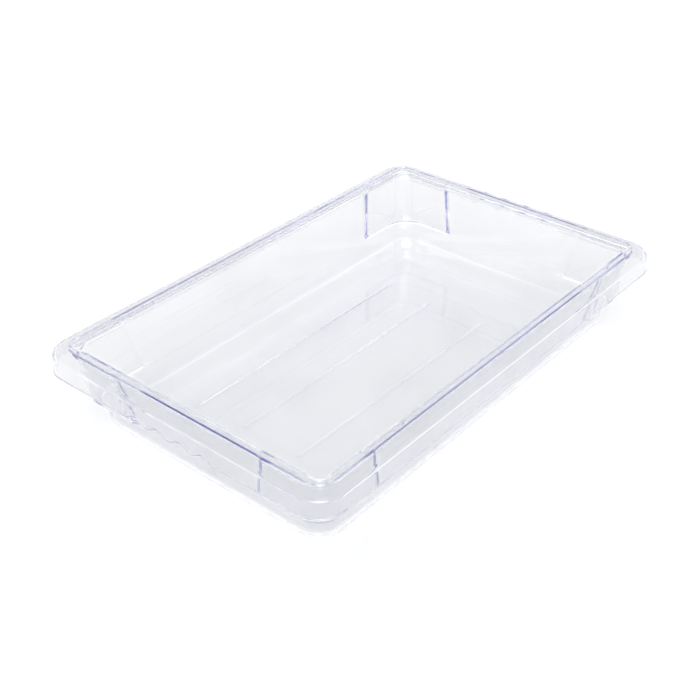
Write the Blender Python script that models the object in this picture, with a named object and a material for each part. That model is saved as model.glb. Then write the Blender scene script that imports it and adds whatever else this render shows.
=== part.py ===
"""Shallow rectangular food pan with a lid rim, moulded in one piece of clear plastic.

The pan is one thin shell.  Its section is followed as a row of stations, from the inner
floor up the inner wall, over the upright lip, out along the rim, down and round the
skirt, back under the rim and down the outer wall to the base.  Each station is an outline
round the whole pan with the same columns of points, so neighbouring outlines join in
plain quads.  Four low ribs are then joined to the inner floor.

Metres, +Z up, the base rests on z = 0, the long side runs along X.
"""

import math

import bmesh
import bpy

# Overall size
LENGTH = 0.4572
WIDTH = 0.3020
HEIGHT = 0.0860
WALL = 0.0028

# Upright lip round the opening, and the flat rim outside it
LIP_HEIGHT = 0.0050
LIP_THICKNESS = 0.0028
LIP_EDGE = 0.0005
LIP_CORNER_RADIUS = 0.0080
RIM_OVERHANG = 0.0162
RIM_EDGE_RADIUS = 0.0035
SKIRT_DEPTH = 0.0213
SKIRT_FLARE = 0.0015
SKIRT_CORNER_RADIUS = 0.0257
SKIRT_EDGE = 0.0006

# Finger grip cut into the lower edge of the skirt at both short ends
GRIP_WAVES = 4
GRIP_PITCH = 0.0240
GRIP_RISE = 0.0042
GRIP_STEPS = 8

# Tapered walls, as the slope of inset against depth
WALL_SLOPE = 0.194
SHOULDER_START = 0.0060
SHOULDER_DEPTH = 0.0030
SHOULDER_WIDTH = 0.0011
BODY_CORNER_RADIUS = 0.0215
BOTTOM_RADIUS = 0.0225

# Corner pockets: the wall stands further out there, down to a ledge.  The step at a pocket's
# edge is short on the inside and long on the outside.
POCKET_REACH_TOP = 0.0725
POCKET_REACH_BOTTOM = 0.0830
POCKET_SLOPE = 0.103
POCKET_DEPTH = 0.0495
POCKET_STEP_RUN = 0.0034
OUTER_STEP_RUN = 0.0102
POCKET_CORNER_RADIUS = 0.0170
LEDGE_ROUNDING = 0.0008

# Ribs on the inner floor: two each side of the middle, placed from the flat floor's edges
RIB_MIDDLE_GAP = 0.0600
RIB_SIDE_GAP = 0.0191
RIB_END_GAP = 0.0505
RIB_WIDTH = 0.0036
RIB_HEIGHT = 0.0006
RIB_SINK = 0.0008
RIB_END_STEPS = 6

# How finely the round stretches are divided
CORNER_STEPS = 8
BOTTOM_STEPS = 5
RIM_EDGE_STEPS = 3

# Sizes that follow from the ones above
LIP_INSET = RIM_OVERHANG + LIP_THICKNESS
SHOULDER_END = SHOULDER_START + SHOULDER_DEPTH
RIM_UNDERSIDE = LIP_HEIGHT + WALL
FLOOR_TOP = WALL
INNER_BOTTOM_RADIUS = BOTTOM_RADIUS - WALL
SLANTED_WALL = WALL * math.hypot(1.0, WALL_SLOPE)
SLANTED_POCKET_WALL = WALL * math.hypot(1.0, POCKET_SLOPE)
WALL_FOOT = HEIGHT - BOTTOM_RADIUS
WALL_FOOT_INSET = LIP_INSET + SHOULDER_WIDTH + WALL_SLOPE * (WALL_FOOT - SHOULDER_END)
FLOOR_INSET = WALL_FOOT_INSET + INNER_BOTTOM_RADIUS
RIB_LENGTH = LENGTH - 2 * (FLOOR_INSET + RIB_END_GAP)
RIB_OFFSETS = (RIB_MIDDLE_GAP / 2, WIDTH / 2 - FLOOR_INSET - RIB_SIDE_GAP)


def clear_scene():
    """Remove every object of the open scene."""
    for item in list(bpy.data.objects):
        bpy.data.objects.remove(item, do_unlink=True)


def clear_plastic():
    """Clear plastic with a faint violet cast."""
    material = bpy.data.materials.new("clear_plastic")
    material.use_nodes = True
    shader = material.node_tree.nodes["Principled BSDF"]
    shader.inputs["Base Color"].default_value = (0.84, 0.85, 0.92, 1.0)
    shader.inputs["Roughness"].default_value = 0.08
    shader.inputs["Metallic"].default_value = 0.0
    shader.inputs["IOR"].default_value = 1.585
    shader.inputs["Transmission Weight"].default_value = 1.0
    return material


def wall_inset(depth):
    """Inset of the inner wall between the pockets, at a depth below the lip."""
    return LIP_INSET + SHOULDER_WIDTH + WALL_SLOPE * (depth - SHOULDER_END)


def pocket_inset(depth):
    """Inset of the inner wall of a corner pocket, at a depth below the lip."""
    return LIP_INSET + POCKET_SLOPE * (depth - SHOULDER_START)


def pocket_reach(depth):
    """Distance from the pan's end or side to the edge of a corner pocket."""
    share = min(max(depth / POCKET_DEPTH, 0.0), 1.0)
    return POCKET_REACH_TOP + (POCKET_REACH_BOTTOM - POCKET_REACH_TOP) * share


def grip_lift(distance):
    """How far the skirt's lower edge rises at a distance from the middle of an end."""
    if abs(distance) >= GRIP_WAVES * GRIP_PITCH / 2:
        return 0.0
    phase = 2 * math.pi * (distance / GRIP_PITCH + GRIP_WAVES / 2)
    return GRIP_RISE * (1 - math.cos(phase)) / 2


class Station:
    """One outline round the pan.

    inset and pocket_inset are measured in from the pan's overall rectangle, depth down
    from the lip's top.  grip is the share of the grip's rise that this outline follows,
    and outside is true on the outer wall.
    """

    def __init__(self, depth, inset, radius, pocket_inset=None, pocket_radius=None, grip=0.0,
                 outside=False):
        self.depth = depth
        self.inset = inset
        self.radius = max(radius, 0.0004)
        self.pocket_inset = inset if pocket_inset is None else pocket_inset
        self.pocket_radius = self.radius if pocket_radius is None else pocket_radius
        self.grip = grip
        self.outside = outside

    def quarter_side(self, half_along, half_across, stops):
        """Points from the middle of a side towards its corner, as (along, across).

        The stops are drawn together where they wouldn't fit between two pockets, and on
        the grip's own outlines the pocket's points make room for them instead.
        """
        run = OUTER_STEP_RUN if self.outside else POCKET_STEP_RUN
        step_middle = half_along - pocket_reach(self.depth) + POCKET_STEP_RUN / 2
        if self.outside:
            step_middle -= WALL
        reach = step_middle - run / 2
        if self.grip:
            reach = max(reach, stops[-1] + 2 * POCKET_STEP_RUN)
        room = reach - POCKET_STEP_RUN
        squeeze = room / max(room, stops[-1])
        points = []
        for stop in stops:
            points.append((stop * squeeze, half_across - self.inset))
        points.append((reach, half_across - self.inset))
        points.append((reach + run, half_across - self.pocket_inset))
        return points

    def corner(self):
        """Points round one corner, from the long side to the short side."""
        centre_x = LENGTH / 2 - self.pocket_inset - self.pocket_radius
        centre_y = WIDTH / 2 - self.pocket_inset - self.pocket_radius
        points = []
        for step in range(CORNER_STEPS + 1):
            angle = math.pi / 2 * (1 - step / CORNER_STEPS)
            x = centre_x + self.pocket_radius * math.cos(angle)
            y = centre_y + self.pocket_radius * math.sin(angle)
            points.append((x, y))
        return points

    def outline(self):
        """The closed outline, anticlockwise, as (x, y, z) points."""
        long_stops = [0.0]
        waves = GRIP_WAVES * GRIP_STEPS // 2
        short_stops = [GRIP_PITCH * step / GRIP_STEPS for step in range(waves + 1)]
        quarter = self.quarter_side(LENGTH / 2, WIDTH / 2, long_stops)
        quarter += self.corner()
        end = self.quarter_side(WIDTH / 2, LENGTH / 2, short_stops)
        quarter += [(across, along) for along, across in reversed(end)]
        back = [(x, -y) for x, y in reversed(quarter[:-1])]
        half = quarter + back
        far_half = [(-x, y) for x, y in reversed(half[1:-1])]
        ring = half + far_half
        ring.reverse()
        return [(x, y, self.height(y)) for x, y in ring]

    def height(self, y):
        """Height of the outline above the base, with the grip's rise."""
        return HEIGHT - self.depth + self.grip * grip_lift(y)


def inner_stations():
    """Stations from the edge of the inner floor up to the lip's inner edge."""
    stations = []
    for step in range(BOTTOM_STEPS, -1, -1):
        angle = math.pi / 2 * step / BOTTOM_STEPS
        turn_in = INNER_BOTTOM_RADIUS * (1 - math.cos(angle))
        depth = WALL_FOOT + INNER_BOTTOM_RADIUS * math.sin(angle)
        inset = wall_inset(WALL_FOOT) + turn_in
        stations.append(Station(depth, inset, BODY_CORNER_RADIUS - turn_in))
    stations += ledge_stations(POCKET_DEPTH, 0.0, 0.0, False)
    stations.append(Station(SHOULDER_END, wall_inset(SHOULDER_END), BODY_CORNER_RADIUS,
                            pocket_inset(SHOULDER_END), POCKET_CORNER_RADIUS))
    inner_corner = LIP_CORNER_RADIUS - LIP_THICKNESS
    stations.append(Station(SHOULDER_START, LIP_INSET, inner_corner))
    stations.append(Station(LIP_EDGE, LIP_INSET, inner_corner))
    stations.append(Station(0.0, LIP_INSET - LIP_EDGE, inner_corner + LIP_EDGE))
    return stations


def ledge_stations(depth, wall_shift, pocket_shift, outside):
    """The ledge at the foot of the pockets, from below it to above it."""
    low = depth + 2 * LEDGE_ROUNDING
    mid = depth + LEDGE_ROUNDING
    high = depth - LEDGE_ROUNDING
    wall_low = wall_inset(low) - wall_shift
    pocket_high = pocket_inset(high) - pocket_shift
    radius = BODY_CORNER_RADIUS + wall_shift
    pocket_radius = POCKET_CORNER_RADIUS + pocket_shift
    return [
        Station(low, wall_low, radius, outside=outside),
        Station(mid, wall_inset(mid) - wall_shift, radius, wall_low - LEDGE_ROUNDING, radius,
                outside=outside),
        Station(depth, wall_inset(depth) - wall_shift, radius,
                pocket_high + LEDGE_ROUNDING, pocket_radius, outside=outside),
        Station(high, wall_inset(high) - wall_shift, radius, pocket_high, pocket_radius,
                outside=outside),
    ]


def rim_stations():
    """Stations over the lip, along the rim and round the skirt to the rim's underside."""
    outer_corner = LIP_CORNER_RADIUS
    stations = [
        Station(0.0, RIM_OVERHANG + LIP_EDGE, outer_corner - LIP_EDGE),
        Station(LIP_EDGE, RIM_OVERHANG, outer_corner),
        Station(LIP_HEIGHT, RIM_OVERHANG, outer_corner),
    ]
    for step in range(RIM_EDGE_STEPS + 1):
        angle = math.pi / 2 * step / RIM_EDGE_STEPS
        inset = SKIRT_FLARE + RIM_EDGE_RADIUS * (1 - math.sin(angle))
        depth = LIP_HEIGHT + RIM_EDGE_RADIUS * (1 - math.cos(angle)) + LIP_EDGE
        stations.append(Station(depth, inset, SKIRT_CORNER_RADIUS - inset))
    inner_face = SKIRT_FLARE + WALL
    stations += [
        Station(SKIRT_DEPTH - SKIRT_EDGE, 0.0, SKIRT_CORNER_RADIUS, grip=1.0),
        Station(SKIRT_DEPTH, SKIRT_EDGE, SKIRT_CORNER_RADIUS - SKIRT_EDGE, grip=1.0),
        Station(SKIRT_DEPTH, WALL - SKIRT_EDGE, SKIRT_CORNER_RADIUS - WALL + SKIRT_EDGE, grip=1.0),
        Station(SKIRT_DEPTH - SKIRT_EDGE, WALL, SKIRT_CORNER_RADIUS - WALL, grip=1.0),
        Station(RIM_UNDERSIDE + LIP_EDGE, inner_face, SKIRT_CORNER_RADIUS - inner_face),
    ]
    return stations


def outer_stations():
    """Stations from the rim's underside down the outer wall to the base."""
    top = SHOULDER_END + WALL
    radius = BODY_CORNER_RADIUS + WALL
    pocket_radius = POCKET_CORNER_RADIUS + WALL
    stations = [
        Station(RIM_UNDERSIDE, RIM_OVERHANG - WALL, LIP_CORNER_RADIUS),
        Station(top, wall_inset(top) - SLANTED_WALL, radius,
                pocket_inset(top) - SLANTED_POCKET_WALL, pocket_radius, outside=True),
    ]
    ledge = ledge_stations(POCKET_DEPTH + WALL, SLANTED_WALL, SLANTED_POCKET_WALL, True)
    stations += reversed(ledge)
    inset = wall_inset(WALL_FOOT) - SLANTED_WALL
    for step in range(BOTTOM_STEPS + 1):
        angle = math.pi / 2 * step / BOTTOM_STEPS
        turn_in = BOTTOM_RADIUS * (1 - math.cos(angle))
        depth = WALL_FOOT + BOTTOM_RADIUS * math.sin(angle)
        stations.append(Station(depth, inset + turn_in, radius - turn_in, outside=True))
    return stations


def join_outlines(mesh, stations):
    """Join the stations' outlines with quads and close the two ends with flat faces."""
    rings = [[mesh.verts.new(point) for point in station.outline()] for station in stations]
    for inner, outer in zip(rings, rings[1:]):
        for index, corner in enumerate(inner):
            following = (index + 1) % len(inner)
            mesh.faces.new((corner, inner[following], outer[following], outer[index]))
    mesh.faces.new(reversed(rings[0]))
    mesh.faces.new(rings[-1])


def object_from(mesh, name, material):
    """Turn a bmesh into a named object with one material."""
    bmesh.ops.recalc_face_normals(mesh, faces=mesh.faces)
    data = bpy.data.meshes.new(name)
    mesh.to_mesh(data)
    mesh.free()
    data.materials.append(material)
    item = bpy.data.objects.new(name, data)
    bpy.context.scene.collection.objects.link(item)
    return item


def make_pan(material):
    """The moulded shell of the pan."""
    mesh = bmesh.new()
    join_outlines(mesh, inner_stations() + rim_stations() + outer_stations())
    pan = object_from(mesh, "pan", material)
    pan.data.shade_smooth()
    pan.data.set_sharp_from_angle(angle=math.radians(35))
    return pan


def make_rib(offset, material):
    """A low ridge with round ends, sunk a little into the floor it is joined to."""
    mesh = bmesh.new()
    levels = (
        (FLOOR_TOP - RIB_SINK, RIB_WIDTH / 2),
        (FLOOR_TOP + RIB_HEIGHT / 2, RIB_WIDTH / 2 * 0.8),
        (FLOOR_TOP + RIB_HEIGHT, RIB_WIDTH / 4),
    )
    rings = []
    for height, radius in levels:
        ring = []
        for side in (1, -1):
            for step in range(RIB_END_STEPS + 1):
                angle = -math.pi / 2 + math.pi * step / RIB_END_STEPS
                x = side * (RIB_LENGTH / 2 - RIB_WIDTH / 2 + radius * math.cos(angle))
                y = offset + side * radius * math.sin(angle)
                ring.append(mesh.verts.new((x, y, height)))
        rings.append(ring)
    for low, high in zip(rings, rings[1:]):
        for index, corner in enumerate(low):
            following = (index + 1) % len(low)
            mesh.faces.new((corner, low[following], high[following], high[index]))
    mesh.faces.new(reversed(rings[0]))
    mesh.faces.new(rings[-1])
    rib = object_from(mesh, "rib_tool", material)
    rib.hide_render = True
    rib.display_type = "WIRE"
    return rib


def join_rib(pan, rib):
    """Join a rib to the pan's floor."""
    union = pan.modifiers.new("rib", "BOOLEAN")
    union.operation = "UNION"
    union.solver = "EXACT"
    union.object = rib


def main():
    """Build the pan."""
    clear_scene()
    material = clear_plastic()
    pan = make_pan(material)
    for offset in RIB_OFFSETS:
        for side in (1, -1):
            join_rib(pan, make_rib(side * offset, material))


main()
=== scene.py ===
"""Looks of the clear food pan: its moulded shell, its plastic, and a plain white studio.

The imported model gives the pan's size and place.  The shell is modelled again here at a
finer resolution, as one closed skin: a quarter of the floor's edge is a chain of points,
the chain is extruded along the pan's section level by level, and the quarter is mirrored
twice.  The floor ribs are then raised from the inner floor.
"""

import logging
import math
from collections.abc import Iterator
from dataclasses import dataclass, field
from enum import Enum

import bmesh
import bpy
from mathutils import Matrix, Vector

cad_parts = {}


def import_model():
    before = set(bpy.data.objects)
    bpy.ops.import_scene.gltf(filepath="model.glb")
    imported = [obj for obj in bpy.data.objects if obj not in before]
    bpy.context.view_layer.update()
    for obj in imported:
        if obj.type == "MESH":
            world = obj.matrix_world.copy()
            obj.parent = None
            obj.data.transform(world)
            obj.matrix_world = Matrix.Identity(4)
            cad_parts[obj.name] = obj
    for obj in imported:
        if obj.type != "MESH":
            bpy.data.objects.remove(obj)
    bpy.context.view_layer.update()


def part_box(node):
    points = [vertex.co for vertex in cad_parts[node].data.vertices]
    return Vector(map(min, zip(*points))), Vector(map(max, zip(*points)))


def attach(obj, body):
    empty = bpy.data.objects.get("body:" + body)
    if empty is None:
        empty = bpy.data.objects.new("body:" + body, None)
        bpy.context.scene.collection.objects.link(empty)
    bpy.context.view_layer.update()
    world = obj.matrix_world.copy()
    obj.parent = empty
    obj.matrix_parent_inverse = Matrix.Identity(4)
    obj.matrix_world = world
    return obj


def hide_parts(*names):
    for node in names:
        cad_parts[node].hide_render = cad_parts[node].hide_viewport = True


logging.basicConfig(level=logging.INFO, format="%(message)s")
LOG = logging.getLogger("food_pan")


class Zone(Enum):
    """Where a column of the pan's skin stands on its way round a quarter of the pan."""

    LONG_SIDE = "long side"
    CORNER = "corner"
    SHORT_SIDE = "short side"


@dataclass(frozen=True)
class PanSizes:
    """The pan's sizes in metres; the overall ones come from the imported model."""

    length: float
    width: float
    height: float
    wall: float = 0.0028
    lip_height: float = 0.0050
    lip_thickness: float = 0.0028
    lip_edge: float = 0.0006
    lip_corner: float = 0.0080
    overhang: float = 0.0162
    rim_edge: float = 0.0035
    rim_drop: float = 0.0004
    skirt_depth: float = 0.0213
    skirt_flare: float = 0.0015
    skirt_corner: float = 0.0257
    skirt_edge: float = 0.0007
    wall_slope: float = 0.194
    shoulder_start: float = 0.0060
    shoulder_depth: float = 0.0030
    shoulder_width: float = 0.0011
    body_corner: float = 0.0215
    bottom_radius: float = 0.0225
    pocket_slope: float = 0.103
    pocket_depth: float = 0.0495
    pocket_corner: float = 0.0170
    pocket_reach_top: float = 0.0725
    pocket_reach_low: float = 0.0830
    step_run: float = 0.0034
    outer_step_run: float = 0.0102
    ledge_run: float = 0.0022
    outer_ledge_run: float = 0.0060
    notch_near: float = 0.0630
    notch_far: float = 0.1060
    notch_sink: float = 0.0013
    notch_ramp: float = 0.0012
    notch_start: float = 0.0007
    notch_band: float = 0.0004
    grip_waves: int = 4
    grip_pitch: float = 0.0240
    grip_rise: float = 0.0042
    fillet: float = 0.0014

    @property
    def lip_inset(self) -> float:
        """Inset of the lip's inner face from the pan's outermost edge."""
        return self.overhang + self.lip_thickness

    @property
    def shoulder_end(self) -> float:
        """Depth at which the tapered wall starts."""
        return self.shoulder_start + self.shoulder_depth

    def wall_inset(self, depth: float) -> float:
        """Inset of the inner wall between the pockets at a depth below the lip."""
        return self.lip_inset + self.shoulder_width + self.wall_slope * (depth - self.shoulder_end)

    def pocket_inset(self, depth: float) -> float:
        """Inset of a corner pocket's inner wall at a depth below the lip."""
        return self.lip_inset + self.pocket_slope * (depth - self.shoulder_start)

    def pocket_reach(self, depth: float) -> float:
        """Distance from the pan's end or side to the edge of a corner pocket."""
        share = min(max(depth / self.pocket_depth, 0.0), 1.0)
        return self.pocket_reach_top + (self.pocket_reach_low - self.pocket_reach_top) * share


@dataclass(frozen=True)
class Column:
    """One column of the skin, which every level crosses.

    Attributes:
        zone: The stretch of the quarter it belongs to.
        place: Distance from the side's middle, or the share of the corner's turn or of the step.
        step: How far it has gone over the pocket's step, from 0 to 1, or None.
        on_step: True if it runs up the step itself, so that it moves with the pocket's edge.
        notch: Share of the lip's shallow recess at this column.
    """

    zone: Zone
    place: float
    step: float | None = None
    on_step: bool = False
    notch: float = 0.0


@dataclass(frozen=True)
class Level:
    """One level of the pan's section.

    Attributes:
        depth: Depth below the lip's top.
        inset: Inset from the pan's overall rectangle.
        radius: Corner radius in plan.
        pocket_inset: Inset inside the corner pockets.
        pocket_radius: Corner radius inside the corner pockets.
        grip: Share of the finger waves' rise that the level follows.
        notch: Share of the lip's recess that the level follows.
        outside: Wall thickness by which a pocket's outer face starts further out.
        wear: How exposed the level is to rubbing, from 0 to 1.
    """

    depth: float
    inset: float
    radius: float
    pocket_inset: float | None = None
    pocket_radius: float | None = None
    grip: float = 0.0
    notch: float = 0.0
    outside: float = 0.0
    wear: float = 0.0


def smooth_share(share: float) -> float:
    """A rounded step from 0 to 1 with a steep middle."""
    share = min(max(share, 0.0), 1.0)
    return share * share * share * (share * (6.0 * share - 15.0) + 10.0)


@dataclass
class PanShell:
    """The moulded skin of the pan, inside and outside.

    Attributes:
        sizes: The pan's sizes.
        corner_steps: Divisions of a corner's quarter turn.
        bend_steps: Divisions of the round between wall and floor.
        edge_steps: Divisions of a small rounded edge.
        wave_steps: Divisions of one finger wave.
        step_steps: Divisions of the pocket's step.
    """

    sizes: PanSizes
    corner_steps: int = 18
    bend_steps: int = 12
    edge_steps: int = 4
    wave_steps: int = 14
    step_steps: int = 10

    def columns(self) -> list[Column]:
        """Columns round a quarter of the pan, from the long side's middle to the short side's.

        Returns:
            The columns in order.
        """
        s = self.sizes
        half = s.length / 2
        far, near = half - s.notch_far, half - s.notch_near
        found = [Column(Zone.LONG_SIDE, 0.0)]
        found += [Column(Zone.LONG_SIDE, far - s.notch_ramp), Column(Zone.LONG_SIDE, far, notch=1.0)]
        found += self.step_columns(Zone.LONG_SIDE, notch=1.0)
        found += [Column(Zone.LONG_SIDE, near, notch=1.0, step=1.0)]
        found += [Column(Zone.LONG_SIDE, near + s.notch_ramp, step=1.0)]
        turns = [step / self.corner_steps for step in range(self.corner_steps + 1)]
        found += [Column(Zone.CORNER, turn) for turn in turns]
        found += reversed(self.step_columns(Zone.SHORT_SIDE, notch=0.0))
        waves = s.grip_waves * self.wave_steps // 2
        for step in range(waves, -1, -1):
            found.append(Column(Zone.SHORT_SIDE, s.grip_pitch * step / self.wave_steps))
        return found

    def step_columns(self, zone: Zone, notch: float) -> list[Column]:
        """Columns across the step at a pocket's edge.

        Args:
            zone: The side that the step is on.
            notch: Share of the lip's shallow recess there.

        Returns:
            The columns, from the wall to the pocket.
        """
        shares = [step / self.step_steps for step in range(self.step_steps + 1)]
        return [Column(zone, share, step=share, on_step=True, notch=notch) for share in shares]

    def levels(self) -> list[Level]:
        """Levels along the section, from the inner floor's edge round to the underside's.

        Returns:
            The levels in order.
        """
        return [*self.inner_levels(), *self.rim_levels(), *self.outer_levels()]

    def inner_levels(self) -> Iterator[Level]:
        """Levels from the inner floor up to the lip's inner edge."""
        s = self.sizes
        foot = s.height - s.bottom_radius
        round_in = s.bottom_radius - s.wall
        for step in range(self.bend_steps, -1, -1):
            angle = math.pi / 2 * step / self.bend_steps
            turn = round_in * (1 - math.cos(angle))
            depth = foot + round_in * math.sin(angle)
            yield Level(depth, s.wall_inset(foot) + turn, s.body_corner - turn)
        yield from self.ledge_levels(s.pocket_depth, 0.0)
        yield Level(
            s.shoulder_end + s.fillet,
            s.wall_inset(s.shoulder_end + s.fillet),
            s.body_corner,
            s.pocket_inset(s.shoulder_end + s.fillet),
            s.pocket_corner,
        )
        inner_corner = s.lip_corner - s.lip_thickness
        for step in range(self.edge_steps + 1):
            share = step / self.edge_steps
            depth = s.shoulder_end - s.shoulder_depth * share
            eased = smooth_share(share)
            inset = s.wall_inset(s.shoulder_end) * (1 - eased) + s.lip_inset * eased
            pocket = s.pocket_inset(s.shoulder_end) * (1 - eased) + s.lip_inset * eased
            corner = s.body_corner * (1 - eased) + inner_corner * eased
            pocket_corner = s.pocket_corner * (1 - eased) + inner_corner * eased
            yield Level(depth, inset, corner, pocket, pocket_corner)
        top = s.lip_edge + s.notch_start
        yield Level(top + s.notch_band, s.lip_inset, inner_corner, notch=1.0)
        yield Level(top, s.lip_inset, inner_corner)
        for step in range(self.edge_steps + 1):
            angle = math.pi / 2 * step / self.edge_steps
            out = s.lip_edge * (1 - math.cos(angle))
            depth = s.lip_edge * (1 - math.sin(angle))
            yield Level(depth, s.lip_inset - out, inner_corner + out, wear=0.5 + 0.5 * math.sin(angle))

    def ledge_levels(self, depth: float, shell: float) -> Iterator[Level]:
        """Levels over the ledge at the pockets' foot, from below it to above it.

        Args:
            depth: Depth of the ledge.
            shell: Wall thickness to leave outside the inner faces.

        Yields:
            The levels in order.
        """
        s = self.sizes
        wall_shell = shell * math.hypot(1.0, s.wall_slope)
        pocket_shell = shell * math.hypot(1.0, s.pocket_slope)
        run = s.outer_ledge_run if shell else s.ledge_run
        for step in range(self.step_steps + 1):
            share = step / self.step_steps
            level = depth + run * (0.5 - share)
            eased = smooth_share(share)
            wall = s.wall_inset(level) - wall_shell
            pocket = s.pocket_inset(level) - pocket_shell
            wall_corner = s.body_corner + shell
            pocket_corner = s.pocket_corner + shell
            yield Level(
                level,
                wall,
                wall_corner,
                wall * (1 - eased) + pocket * eased,
                wall_corner * (1 - eased) + pocket_corner * eased,
                outside=shell,
            )

    def rim_levels(self) -> Iterator[Level]:
        """Levels over the lip, along the rim, and down and round the skirt."""
        s = self.sizes
        corner = s.lip_corner
        for step in range(self.edge_steps + 1):
            angle = math.pi / 2 * step / self.edge_steps
            inset = s.overhang + s.lip_edge * (1 - math.sin(angle))
            depth = s.lip_edge * (1 - math.cos(angle))
            yield Level(depth, inset, corner - (inset - s.overhang), wear=1.0 - 0.5 * math.sin(angle))
        for step in range(self.edge_steps + 1):
            angle = math.pi / 2 * step / self.edge_steps
            out = s.fillet * (1 - math.cos(angle))
            depth = s.lip_height - s.fillet * (1 - math.sin(angle))
            yield Level(depth, s.overhang - out, corner + out)
        for step in range(2 * self.edge_steps + 1):
            angle = math.pi / 2 * step / (2 * self.edge_steps)
            inset = s.skirt_flare + s.rim_edge * (1 - math.sin(angle))
            depth = s.lip_height + s.rim_drop + s.rim_edge * (1 - math.cos(angle))
            yield Level(depth, inset, s.skirt_corner - inset, wear=0.4)
        yield from self.skirt_edge_levels()
        under = s.lip_height + s.wall
        inner = s.skirt_flare + s.wall
        for step in range(self.edge_steps + 1):
            angle = math.pi / 2 * step / self.edge_steps
            inset = inner + s.fillet * (1 - math.cos(angle))
            depth = under + s.rim_drop + s.fillet * (1 - math.sin(angle))
            yield Level(depth, inset, s.skirt_corner - inset)

    def skirt_edge_levels(self) -> Iterator[Level]:
        """Levels round the skirt's lower edge, which carries the finger waves."""
        s = self.sizes
        edge = s.skirt_edge
        for side in (0, 1):
            for step in range(self.edge_steps + 1):
                angle = math.pi / 2 * step / self.edge_steps
                if side == 0:
                    inset = edge * (1 - math.cos(angle))
                    depth = s.skirt_depth - edge * (1 - math.sin(angle))
                else:
                    inset = s.wall - edge * (1 - math.sin(angle))
                    depth = s.skirt_depth - edge * (1 - math.cos(angle))
                yield Level(depth, inset, s.skirt_corner - inset, grip=1.0, wear=1.0)

    def outer_levels(self) -> Iterator[Level]:
        """Levels from the rim's underside down the outer wall to the underside."""
        s = self.sizes
        under = s.lip_height + s.wall
        wall_shell = s.wall * math.hypot(1.0, s.wall_slope)
        pocket_shell = s.wall * math.hypot(1.0, s.pocket_slope)
        radius = s.body_corner + s.wall
        pocket_radius = s.pocket_corner + s.wall
        top = under + s.fillet
        for step in range(self.edge_steps + 1):
            share = smooth_share(step / self.edge_steps)
            depth = under + 2 * s.fillet * step / self.edge_steps
            out = 2 * s.fillet * (1 - share)
            yield Level(
                depth,
                s.wall_inset(top) - wall_shell - out,
                radius,
                s.pocket_inset(top) - pocket_shell - out,
                pocket_radius,
                outside=s.wall,
            )
        yield from reversed(list(self.ledge_levels(s.pocket_depth + s.wall, s.wall)))
        foot = s.height - s.bottom_radius
        inset = s.wall_inset(foot) - wall_shell
        for step in range(self.bend_steps + 1):
            angle = math.pi / 2 * step / self.bend_steps
            turn = s.bottom_radius * (1 - math.cos(angle))
            depth = foot + s.bottom_radius * math.sin(angle)
            yield Level(depth, inset + turn, radius - turn, wear=0.6 * math.sin(angle))

    def place(self, column: Column, level: Level) -> Vector:
        """Where a column crosses a level.

        Args:
            column: The column.
            level: The level.

        Returns:
            The point, in the pan's own frame.
        """
        s = self.sizes
        pocket = level.inset if level.pocket_inset is None else level.pocket_inset
        radius = level.radius if level.pocket_radius is None else level.pocket_radius
        half_x, half_y = s.length / 2, s.width / 2
        if column.zone is Zone.CORNER:
            angle = math.pi / 2 * (1 - column.place)
            x = half_x - pocket - radius * (1 - math.cos(angle))
            y = half_y - pocket - radius * (1 - math.sin(angle))
            return Vector((x, y, s.height - level.depth))
        long_side = column.zone is Zone.LONG_SIDE
        half_along, half_across = (half_x, half_y) if long_side else (half_y, half_x)
        along = column.place
        inset = level.inset
        if column.on_step:
            middle = half_along - s.pocket_reach(level.depth) + s.step_run / 2 - level.outside
            run = s.outer_step_run if level.outside else s.step_run
            along = middle + run * (column.place - 0.5)
        if column.step is not None:
            inset += (pocket - level.inset) * smooth_share(column.step)
        inset -= s.notch_sink * column.notch * level.notch
        lift = level.grip * self.wave_lift(along) if not long_side else 0.0
        x, y = (along, half_across - inset) if long_side else (half_across - inset, along)
        return Vector((x, y, s.height - level.depth + lift))

    def wave_lift(self, along: float) -> float:
        """Rise of the skirt's edge at a distance from the middle of a short end."""
        s = self.sizes
        if along >= s.grip_waves * s.grip_pitch / 2:
            return 0.0
        phase = 2 * math.pi * (along / s.grip_pitch + s.grip_waves / 2)
        return s.grip_rise * (1 - math.cos(phase)) / 2

    def build(self, mesh: bmesh.types.BMesh) -> None:
        """Model the shell, with its two floors closed.

        Args:
            mesh: The empty bmesh that takes the shell.
        """
        columns = self.columns()
        levels = self.levels()
        order = mesh.verts.layers.int.new("column")
        wear = mesh.verts.layers.float.new("wear")
        first = mesh.verts.new(self.place(columns[0], levels[0]))
        for index in range(1, len(columns)):
            grown = bmesh.ops.extrude_vert_indiv(mesh, verts=[first])
            first = grown["verts"][0]
            first[order] = index
            first.co = self.place(columns[index], levels[0])
        edges = list(mesh.edges)
        for level in levels[1:]:
            grown = bmesh.ops.extrude_edge_only(mesh, edges=edges)
            corners = {item for item in grown["geom"] if isinstance(item, bmesh.types.BMVert)}
            edges = [item for item in grown["geom"] if isinstance(item, bmesh.types.BMEdge)]
            edges = [edge for edge in edges if corners.issuperset(edge.verts)]
            for corner in corners:
                corner.co = self.place(columns[corner[order]], level)
                corner[wear] = level.wear
        for axis in ("X", "Y"):
            bmesh.ops.mirror(mesh, geom=mesh.verts[:] + mesh.edges[:] + mesh.faces[:], axis=axis,
                             merge_dist=1e-6)
        rims = [edge for edge in mesh.edges if edge.is_boundary]
        bmesh.ops.edgeloop_fill(mesh, edges=rims)
        bmesh.ops.recalc_face_normals(mesh, faces=mesh.faces)


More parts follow.
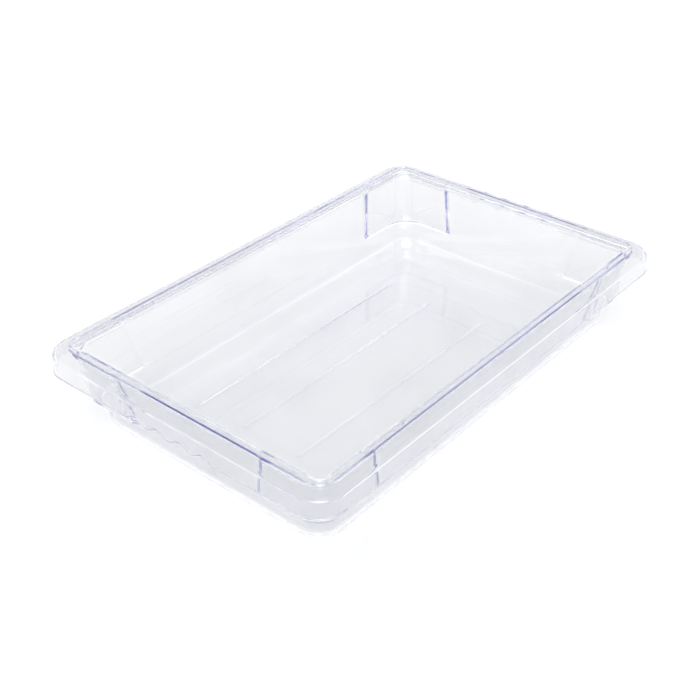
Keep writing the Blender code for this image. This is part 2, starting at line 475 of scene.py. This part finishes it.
@dataclass
class FloorRibs:
    """Four low ribs on the inner floor, on which food stands clear of its juices.

    Attributes:
        sizes: The pan's sizes.
        middle_gap: Distance between the two inner ribs.
        side_gap: Distance from an outer rib to the flat floor's edge.
        end_gap: Distance from a rib's end to the flat floor's edge.
        width: Width of a rib at the floor.
        rise: Height of a rib.
        foot: Height of the small upright edge at a rib's foot.
        round_steps: Divisions of a rib's rounded back.
        crest_share: Width left at the rib's crest, as a share of its width.
        end_share: Radius of a rib's round end, as a share of its width.
        end_steps: Divisions of a rib's round end.
    """

    sizes: PanSizes
    middle_gap: float = 0.0600
    side_gap: float = 0.0191
    end_gap: float = 0.0505
    width: float = 0.0042
    rise: float = 0.00045
    foot: float = 0.00002
    round_steps: int = 10
    crest_share: float = 0.04
    end_share: float = 0.49
    end_steps: int = 8

    @property
    def floor_inset(self) -> float:
        """Inset of the flat floor's edge from the pan's outermost edge."""
        s = self.sizes
        return s.wall_inset(s.height - s.bottom_radius) + s.bottom_radius - s.wall

    def offsets(self) -> list[float]:
        """Places of the ribs across the pan, measured from its middle."""
        inner = self.middle_gap / 2
        outer = self.sizes.width / 2 - self.floor_inset - self.side_gap
        return [-outer, -inner, inner, outer]

    def raise_from(self, mesh: bmesh.types.BMesh) -> None:
        """Cut the ribs' strips into the inner floor, raise them and round them.

        Args:
            mesh: The pan's skin, with its inner floor closed.
        """
        half_length = self.sizes.length / 2 - self.floor_inset - self.end_gap
        for offset in self.offsets():
            for side in (-1, 1):
                self.cut(mesh, Vector((0, offset + side * self.width / 2, 0)), Vector((0, 1, 0)))
        for side in (-1, 1):
            self.cut(mesh, Vector((side * half_length, 0, 0)), Vector((1, 0, 0)))
        strips = [face for face in self.floor_faces(mesh) if self.is_strip(face, half_length)]
        grown = bmesh.ops.extrude_discrete_faces(mesh, faces=strips)
        corners = [vert for face in grown["faces"] for vert in face.verts]
        bmesh.ops.translate(mesh, vec=Vector((0, 0, self.foot)), verts=corners)
        uprights = {edge for vert in corners for edge in vert.link_edges if self.is_upright(edge)}
        bmesh.ops.bevel(mesh, geom=list(uprights), offset=self.width * self.end_share,
                        segments=self.end_steps, profile=0.5, affect="EDGES", material=-1)
        level = self.sizes.wall + self.foot
        tops = [face for face in mesh.faces if self.lies_at(face, level)]
        reach = half_length - self.width / 2
        for step in range(1, self.round_steps + 1):
            share = step / self.round_steps
            height = level + self.rise * math.sin(math.pi / 2 * share) ** 2
            shrink = self.width_share(share) / self.width_share(share - 1 / self.round_steps)
            grown = bmesh.ops.extrude_discrete_faces(mesh, faces=tops)
            tops = grown["faces"]
            for vert in {vert for face in tops for vert in face.verts}:
                spine = self.spine_point(vert.co, reach)
                vert.co = spine + (vert.co - spine) * shrink
                vert.co.z = height

    def width_share(self, share: float) -> float:
        """Width left on the way up a rib, as a share of its width at the floor."""
        return 1.0 - (1.0 - self.crest_share) * share

    def spine_point(self, place: Vector, reach: float) -> Vector:
        """The point of a rib's centre line that is nearest to a place on the rib.

        Args:
            place: The place on the rib.
            reach: Distance from the pan's middle to the centre of the rib's round end.

        Returns:
            The nearest point of the centre line, at the same height.
        """
        across = min(self.offsets(), key=lambda offset: abs(offset - place.y))
        return Vector((min(max(place.x, -reach), reach), across, place.z))

    def floor_faces(self, mesh: bmesh.types.BMesh) -> list[bmesh.types.BMFace]:
        """The flat faces of the inner floor."""
        level = self.sizes.wall
        return [face for face in mesh.faces if self.lies_at(face, level)]

    def cut(self, mesh: bmesh.types.BMesh, point: Vector, normal: Vector) -> None:
        """Cut the inner floor along one straight line."""
        faces = self.floor_faces(mesh)
        edges = {edge for face in faces for edge in face.edges}
        verts = {vert for face in faces for vert in face.verts}
        bmesh.ops.bisect_plane(mesh, geom=[*verts, *edges, *faces], dist=1e-6, plane_co=point,
                               plane_no=normal)

    def is_strip(self, face: bmesh.types.BMFace, half_length: float) -> bool:
        """True if a floor face is one of the ribs' strips."""
        middle = face.calc_center_median()
        near = any(abs(middle.y - offset) < self.width / 4 for offset in self.offsets())
        return near and abs(middle.x) < half_length / 2

    def is_upright(self, edge: bmesh.types.BMEdge) -> bool:
        """True if an edge stands upright on the inner floor."""
        low, high = sorted(vert.co.z for vert in edge.verts)
        return abs(low - self.sizes.wall) < 1e-6 and abs(high - low - self.foot) < 1e-6

    @staticmethod
    def lies_at(face: bmesh.types.BMFace, level: float) -> bool:
        """True if a face lies flat at a height."""
        return all(abs(vert.co.z - level) < 1e-6 for vert in face.verts)


class ShaderGroup:
    """A shader node group with named inputs and outputs, built once."""

    def __init__(self, name: str) -> None:
        """Start an empty group.

        Args:
            name: Name of the group.
        """
        self.tree = bpy.data.node_groups.new(name, "ShaderNodeTree")
        self.inlet = self.tree.nodes.new("NodeGroupInput")
        self.outlet = self.tree.nodes.new("NodeGroupOutput")

    def add_input(self, name: str, kind: str, value: float | tuple[float, ...]) -> None:
        """Add a named input with its default value."""
        socket = self.tree.interface.new_socket(name=name, in_out="INPUT", socket_type=kind)
        socket.default_value = value

    def add_output(self, name: str, kind: str) -> None:
        """Add a named output."""
        self.tree.interface.new_socket(name=name, in_out="OUTPUT", socket_type=kind)

    def node(self, kind: str, **values: object) -> bpy.types.Node:
        """Add a node and set its plain properties.

        Args:
            kind: Node type.
            **values: Properties to set on the node.

        Returns:
            The node.
        """
        made = self.tree.nodes.new(kind)
        for name, value in values.items():
            setattr(made, name, value)
        return made

    def link(self, source: bpy.types.NodeSocket, target: bpy.types.NodeSocket) -> None:
        """Link two sockets."""
        self.tree.links.new(source, target)

    def maths(self, operation: str, first: object, second: object = 0.0) -> bpy.types.NodeSocket:
        """Add a Math node fed by sockets or numbers and return its result."""
        made = self.node("ShaderNodeMath", operation=operation)
        for socket, value in zip(made.inputs, (first, second)):
            if isinstance(value, bpy.types.NodeSocket):
                self.link(value, socket)
            else:
                socket.default_value = value
        return made.outputs[0]


class HandlingMarks(ShaderGroup):
    """Fine scratches and rubbed patches, as masks from 0 to 1."""

    def __init__(self) -> None:
        """Build the group."""
        super().__init__("handling_marks")
        self.add_input("Position", "NodeSocketVector", (0.0, 0.0, 0.0))
        self.add_input("Scratch Scale", "NodeSocketFloat", 30.0)
        self.add_input("Scratch Amount", "NodeSocketFloat", 0.5)
        self.add_input("Patch Scale", "NodeSocketFloat", 12.0)
        self.add_output("Scratches", "NodeSocketFloat")
        self.add_output("Patches", "NodeSocketFloat")
        lines = [self.scratches(turn, stretch) for turn, stretch in ((0.35, 55.0), (1.9, 70.0))]
        both = self.maths("MAXIMUM", lines[0], lines[1])
        fade = self.node("ShaderNodeTexNoise")
        self.link(self.inlet.outputs["Position"], fade.inputs["Vector"])
        fade.inputs["Scale"].default_value = 9.0
        fade.inputs["Detail"].default_value = 2.0
        gate = self.maths("GREATER_THAN", fade.outputs["Fac"], 0.5)
        seen = self.maths("MULTIPLY", both, gate)
        amount = self.maths("MULTIPLY", seen, self.inlet.outputs["Scratch Amount"])
        self.link(amount, self.outlet.inputs["Scratches"])
        patch = self.node("ShaderNodeTexNoise")
        self.link(self.inlet.outputs["Position"], patch.inputs["Vector"])
        self.link(self.inlet.outputs["Patch Scale"], patch.inputs["Scale"])
        patch.inputs["Detail"].default_value = 4.0
        soft = self.node("ShaderNodeMapRange", interpolation_type="SMOOTHSTEP")
        soft.inputs["From Min"].default_value = 0.45
        soft.inputs["From Max"].default_value = 0.75
        self.link(patch.outputs["Fac"], soft.inputs["Value"])
        self.link(soft.outputs["Result"], self.outlet.inputs["Patches"])

    def scratches(self, turn: float, stretch: float) -> bpy.types.NodeSocket:
        """Thin lines in one direction, broken along their length."""
        turned = self.node("ShaderNodeMapping")
        self.link(self.inlet.outputs["Position"], turned.inputs["Vector"])
        turned.inputs["Rotation"].default_value = (0.0, 0.0, turn)
        turned.inputs["Scale"].default_value = (1.0, stretch, 1.0)
        lines = self.node("ShaderNodeTexNoise")
        self.link(turned.outputs["Vector"], lines.inputs["Vector"])
        self.link(self.inlet.outputs["Scratch Scale"], lines.inputs["Scale"])
        lines.inputs["Detail"].default_value = 1.0
        thin = self.node("ShaderNodeMapRange")
        thin.inputs["From Min"].default_value = 0.68
        thin.inputs["From Max"].default_value = 0.72
        self.link(lines.outputs["Fac"], thin.inputs["Value"])
        return thin.outputs["Result"]


class MouldedSkin(ShaderGroup):
    """The faint waviness that plastic keeps from the mould, as a height."""

    def __init__(self) -> None:
        """Build the group."""
        super().__init__("moulded_skin")
        self.add_input("Position", "NodeSocketVector", (0.0, 0.0, 0.0))
        self.add_input("Wave Scale", "NodeSocketFloat", 14.0)
        self.add_input("Fine Share", "NodeSocketFloat", 0.15)
        self.add_output("Height", "NodeSocketFloat")
        wave = self.node("ShaderNodeTexNoise")
        self.link(self.inlet.outputs["Position"], wave.inputs["Vector"])
        self.link(self.inlet.outputs["Wave Scale"], wave.inputs["Scale"])
        wave.inputs["Detail"].default_value = 1.0
        fine = self.node("ShaderNodeTexNoise")
        self.link(self.inlet.outputs["Position"], fine.inputs["Vector"])
        fine.inputs["Scale"].default_value = 130.0
        fine.inputs["Detail"].default_value = 2.0
        small = self.maths("MULTIPLY", fine.outputs["Fac"], self.inlet.outputs["Fine Share"])
        total = self.maths("ADD", wave.outputs["Fac"], small)
        self.link(total, self.outlet.inputs["Height"])


@dataclass(frozen=True)
class ClearPlastic:
    """Clear, slightly violet plastic with handling marks.

    Attributes:
        tint: Surface colour.
        depth_tint: Colour that a long way through the plastic takes on.
        depth_density: How strongly the plastic absorbs, per metre.
        index: Index of refraction.
        polish: Roughness of the untouched surface.
        rubbed: Roughness that rubbed patches and scratches add.
        rubbed_tint: Share of the surface colour that is left in rubbed patches.
        ripple: Depth of the moulded waviness in metres.
    """

    tint: tuple[float, float, float] = (0.930, 0.934, 0.944)
    depth_tint: tuple[float, float, float] = (0.46, 0.47, 0.74)
    depth_density: float = 4.5
    index: float = 1.585
    polish: float = 0.02
    rubbed: float = 0.05
    rubbed_tint: float = 0.97
    ripple: float = 0.000012

    def material(self, marks: HandlingMarks, skin: MouldedSkin) -> bpy.types.Material:
        """Build the material.

        Args:
            marks: The handling marks' node group.
            skin: The moulded waviness's node group.

        Returns:
            The material.
        """
        made = bpy.data.materials.new("clear_plastic")
        made.use_nodes = True
        nodes, links = made.node_tree.nodes, made.node_tree.links
        shader = nodes["Principled BSDF"]
        shader.inputs["Metallic"].default_value = 0.0
        shader.inputs["IOR"].default_value = self.index
        shader.inputs["Transmission Weight"].default_value = 1.0
        place = nodes.new("ShaderNodeTexCoord").outputs["Object"]
        worn = nodes.new("ShaderNodeGroup")
        worn.node_tree = marks.tree
        worn.inputs["Scratch Scale"].default_value = 26.0
        worn.inputs["Scratch Amount"].default_value = 0.6
        worn.inputs["Patch Scale"].default_value = 14.0
        links.new(place, worn.inputs["Position"])
        self.roughen(made.node_tree, worn, shader)
        self.colour(made.node_tree, worn, shader)
        self.ruffle(made.node_tree, place, skin, shader)
        depth = nodes.new("ShaderNodeVolumeAbsorption")
        depth.inputs["Color"].default_value = (*self.depth_tint, 1.0)
        depth.inputs["Density"].default_value = self.depth_density
        links.new(depth.outputs["Volume"], nodes["Material Output"].inputs["Volume"])
        return made

    def roughen(self, tree: bpy.types.NodeTree, worn: bpy.types.Node, shader: bpy.types.Node) -> None:
        """Make scratches, and rubbed patches on exposed edges, a little rougher.

        Args:
            tree: The material's node tree.
            worn: The handling marks' group node.
            shader: The shader that takes the roughness.
        """
        nodes, links = tree.nodes, tree.links
        edge = nodes.new("ShaderNodeAttribute")
        edge.attribute_name = "wear"
        rubbed = nodes.new("ShaderNodeMath")
        rubbed.operation = "MULTIPLY"
        links.new(edge.outputs["Fac"], rubbed.inputs[0])
        links.new(worn.outputs["Patches"], rubbed.inputs[1])
        total = nodes.new("ShaderNodeMath")
        total.operation = "ADD"
        links.new(rubbed.outputs[0], total.inputs[0])
        links.new(worn.outputs["Scratches"], total.inputs[1])
        rough = nodes.new("ShaderNodeMapRange")
        rough.inputs["To Min"].default_value = self.polish
        rough.inputs["To Max"].default_value = self.polish + self.rubbed
        links.new(total.outputs[0], rough.inputs["Value"])
        links.new(rough.outputs["Result"], shader.inputs["Roughness"])

    def colour(self, tree: bpy.types.NodeTree, worn: bpy.types.Node, shader: bpy.types.Node) -> None:
        """Tint the surface, a little darker in rubbed patches.

        Args:
            tree: The material's node tree.
            worn: The handling marks' group node.
            shader: The shader that takes the colour.
        """
        nodes, links = tree.nodes, tree.links
        mix = nodes.new("ShaderNodeMix")
        mix.data_type = "RGBA"
        mix.inputs["A"].default_value = (*self.tint, 1.0)
        mix.inputs["B"].default_value = (*(self.rubbed_tint * part for part in self.tint), 1.0)
        links.new(worn.outputs["Patches"], mix.inputs["Factor"])
        links.new(mix.outputs["Result"], shader.inputs["Base Color"])

    def ruffle(self, tree: bpy.types.NodeTree, place: bpy.types.NodeSocket, skin: MouldedSkin,
               shader: bpy.types.Node) -> None:
        """Give the surface its moulded waviness.

        Args:
            tree: The material's node tree.
            place: The place on the pan.
            skin: The moulded waviness's node group.
            shader: The shader that takes the normal.
        """
        nodes, links = tree.nodes, tree.links
        wavy = nodes.new("ShaderNodeGroup")
        wavy.node_tree = skin.tree
        links.new(place, wavy.inputs["Position"])
        bump = nodes.new("ShaderNodeBump")
        bump.inputs["Strength"].default_value = 1.0
        bump.inputs["Distance"].default_value = self.ripple
        links.new(wavy.outputs["Height"], bump.inputs["Height"])
        links.new(bump.outputs["Normal"], shader.inputs["Normal"])


@dataclass
class FoodPan:
    """The whole pan: one moulded piece of clear plastic.

    Attributes:
        sizes: The pan's sizes.
        finish: The plastic's finish.
    """

    sizes: PanSizes
    finish: ClearPlastic = field(default_factory=ClearPlastic)

    def build(self) -> bpy.types.Object:
        """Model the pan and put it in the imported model's place.

        Returns:
            The finished pan.
        """
        mesh = bmesh.new()
        PanShell(self.sizes).build(mesh)
        FloorRibs(self.sizes).raise_from(mesh)
        data = bpy.data.meshes.new("food_pan")
        mesh.to_mesh(data)
        mesh.free()
        data.shade_smooth()
        pan = bpy.data.objects.new("food_pan", data)
        bpy.context.scene.collection.objects.link(pan)
        weighted = pan.modifiers.new("even_shading", "WEIGHTED_NORMAL")
        weighted.mode = "FACE_AREA"
        weighted.weight = 100
        weighted.keep_sharp = False
        data.materials.append(self.finish.material(HandlingMarks(), MouldedSkin()))
        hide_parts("pan")
        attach(pan, "root")
        return pan


@dataclass
class Studio:
    """A plain white table, soft light and the camera.

    Attributes:
        floor_size: Side of the table.
        floor_gap: Air left under the pan.
        floor_colour: Colour of the table.
        floor_glow: Light that comes up through the table, as in a light table.
        sky_low: Colour of the sky at the horizon.
        sky_high: Colour of the sky overhead.
        sky_strength: Strength of the light from all round.
        horizon_band: Height at which the bright horizon has faded, from 0 to 1 overhead.
        path_length: Most reflections and crossings that light follows.
        key_strength: Strength of the key light.
        key_width: Angle that the key light fills, in radians.
        key_heading: Direction in which the key light shines.
        lamp_place: Where the overhead softbox hangs.
        lamp_size: Side of the softbox's square face.
        lamp_power: Power of the softbox in watts.
    """

    floor_size: float = 12.0
    floor_gap: float = 0.0003
    floor_colour: tuple[float, float, float] = (0.80, 0.80, 0.80)
    floor_glow: float = 0.08
    sky_low: tuple[float, float, float] = (2.2, 2.2, 2.22)
    sky_high: tuple[float, float, float] = (0.78, 0.785, 0.80)
    sky_strength: float = 1.0
    horizon_band: float = 0.26
    path_length: int = 200
    key_strength: float = 1.7
    key_width: float = 0.9
    key_heading: Vector = field(default_factory=lambda: Vector((0.66, 0.54, -0.62)))
    lamp_place: Vector = field(default_factory=lambda: Vector((0.1, 0.1, 2.0)))
    lamp_size: float = 0.5
    lamp_power: float = 3.2

    def build(self, top: float) -> None:
        """Set up the table, the lights and the camera.

        Args:
            top: Height of the pan above the table.
        """
        self.table()
        self.sky()
        self.key_light()
        self.softbox()
        self.camera(top)
        bpy.context.scene.view_settings.view_transform = "Standard"
        self.light_paths()

    def light_paths(self) -> None:
        """Let light run far enough inside the clear walls to come out at an edge."""
        cycles = bpy.context.scene.cycles
        cycles.blur_glossy = 0.0
        cycles.max_bounces = self.path_length
        cycles.glossy_bounces = self.path_length
        cycles.transmission_bounces = self.path_length

    def table(self) -> None:
        """The plain white table."""
        mesh = bmesh.new()
        bmesh.ops.create_grid(mesh, x_segments=1, y_segments=1, size=self.floor_size / 2,
                              matrix=Matrix.Translation((0, 0, -self.floor_gap)))
        data = bpy.data.meshes.new("table")
        mesh.to_mesh(data)
        mesh.free()
        table = bpy.data.objects.new("table", data)
        bpy.context.scene.collection.objects.link(table)
        paint = bpy.data.materials.new("table_white")
        paint.use_nodes = True
        shader = paint.node_tree.nodes["Principled BSDF"]
        shader.inputs["Base Color"].default_value = (*self.floor_colour, 1.0)
        shader.inputs["Roughness"].default_value = 0.9
        shader.inputs["Specular IOR Level"].default_value = 0.1
        shader.inputs["Emission Color"].default_value = (1.0, 1.0, 1.0, 1.0)
        shader.inputs["Emission Strength"].default_value = self.floor_glow
        data.materials.append(paint)

    def sky(self) -> None:
        """Even light from all round, brightest at the horizon, like a lit white backdrop."""
        world = bpy.data.worlds.new("studio")
        world.use_nodes = True
        nodes, links = world.node_tree.nodes, world.node_tree.links
        back = nodes["Background"]
        place = nodes.new("ShaderNodeTexCoord")
        parts = nodes.new("ShaderNodeSeparateXYZ")
        links.new(place.outputs["Generated"], parts.inputs["Vector"])
        ramp = nodes.new("ShaderNodeMix")
        ramp.data_type = "RGBA"
        ramp.inputs["A"].default_value = (*self.sky_low, 1.0)
        ramp.inputs["B"].default_value = (*self.sky_high, 1.0)
        fade = nodes.new("ShaderNodeMapRange")
        fade.interpolation_type = "SMOOTHSTEP"
        fade.inputs["From Max"].default_value = self.horizon_band
        links.new(parts.outputs["Z"], fade.inputs["Value"])
        links.new(fade.outputs["Result"], ramp.inputs["Factor"])
        links.new(ramp.outputs["Result"], back.inputs["Color"])
        back.inputs["Strength"].default_value = self.sky_strength
        bpy.context.scene.world = world

    def key_light(self) -> None:
        """A wide, even light from the viewer's side, so that the shadows fall away behind."""
        lamp = bpy.data.lights.new("key", "SUN")
        lamp.energy = self.key_strength
        lamp.angle = self.key_width
        holder = bpy.data.objects.new("key", lamp)
        holder.rotation_euler = self.key_heading.to_track_quat("-Z", "Y").to_euler()
        bpy.context.scene.collection.objects.link(holder)

    def softbox(self) -> None:
        """A square soft light overhead that faces the pan."""
        lamp = bpy.data.lights.new("overhead", "AREA")
        lamp.shape = "SQUARE"
        lamp.size = self.lamp_size
        lamp.energy = self.lamp_power
        holder = bpy.data.objects.new("overhead", lamp)
        holder.location = self.lamp_place
        holder.rotation_euler = (-self.lamp_place).to_track_quat("-Z", "Y").to_euler()
        bpy.context.scene.collection.objects.link(holder)

    @staticmethod
    def camera(top: float) -> None:
        """The camera, above the pan's near left corner.

        Args:
            top: Height of the pan above the table.
        """
        view = bpy.data.cameras.new("camera")
        view.lens = 60.4
        view.sensor_width = 36.0
        view.shift_x = -0.0578
        view.shift_y = -0.0257
        view.clip_start = 0.01
        holder = bpy.data.objects.new("camera", view)
        holder.location = (-0.6494, -0.5481, 0.5102 + top)
        forward = Vector((0.6522, 0.5274, -0.5446))
        holder.rotation_euler = forward.to_track_quat("-Z", "Y").to_euler()
        bpy.context.scene.collection.objects.link(holder)
        bpy.context.scene.camera = holder


def main() -> None:
    """Load the frame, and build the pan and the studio."""
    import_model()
    low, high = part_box("pan")
    size = high - low
    pan = FoodPan(PanSizes(length=size.x, width=size.y, height=size.z)).build()
    LOG.info("%s: %d faces", pan.name, len(pan.data.polygons))
    Studio().build(high.z)
    LOG.info("studio: table, sky, key light, softbox and camera")


if __name__ == "__main__":
    main()
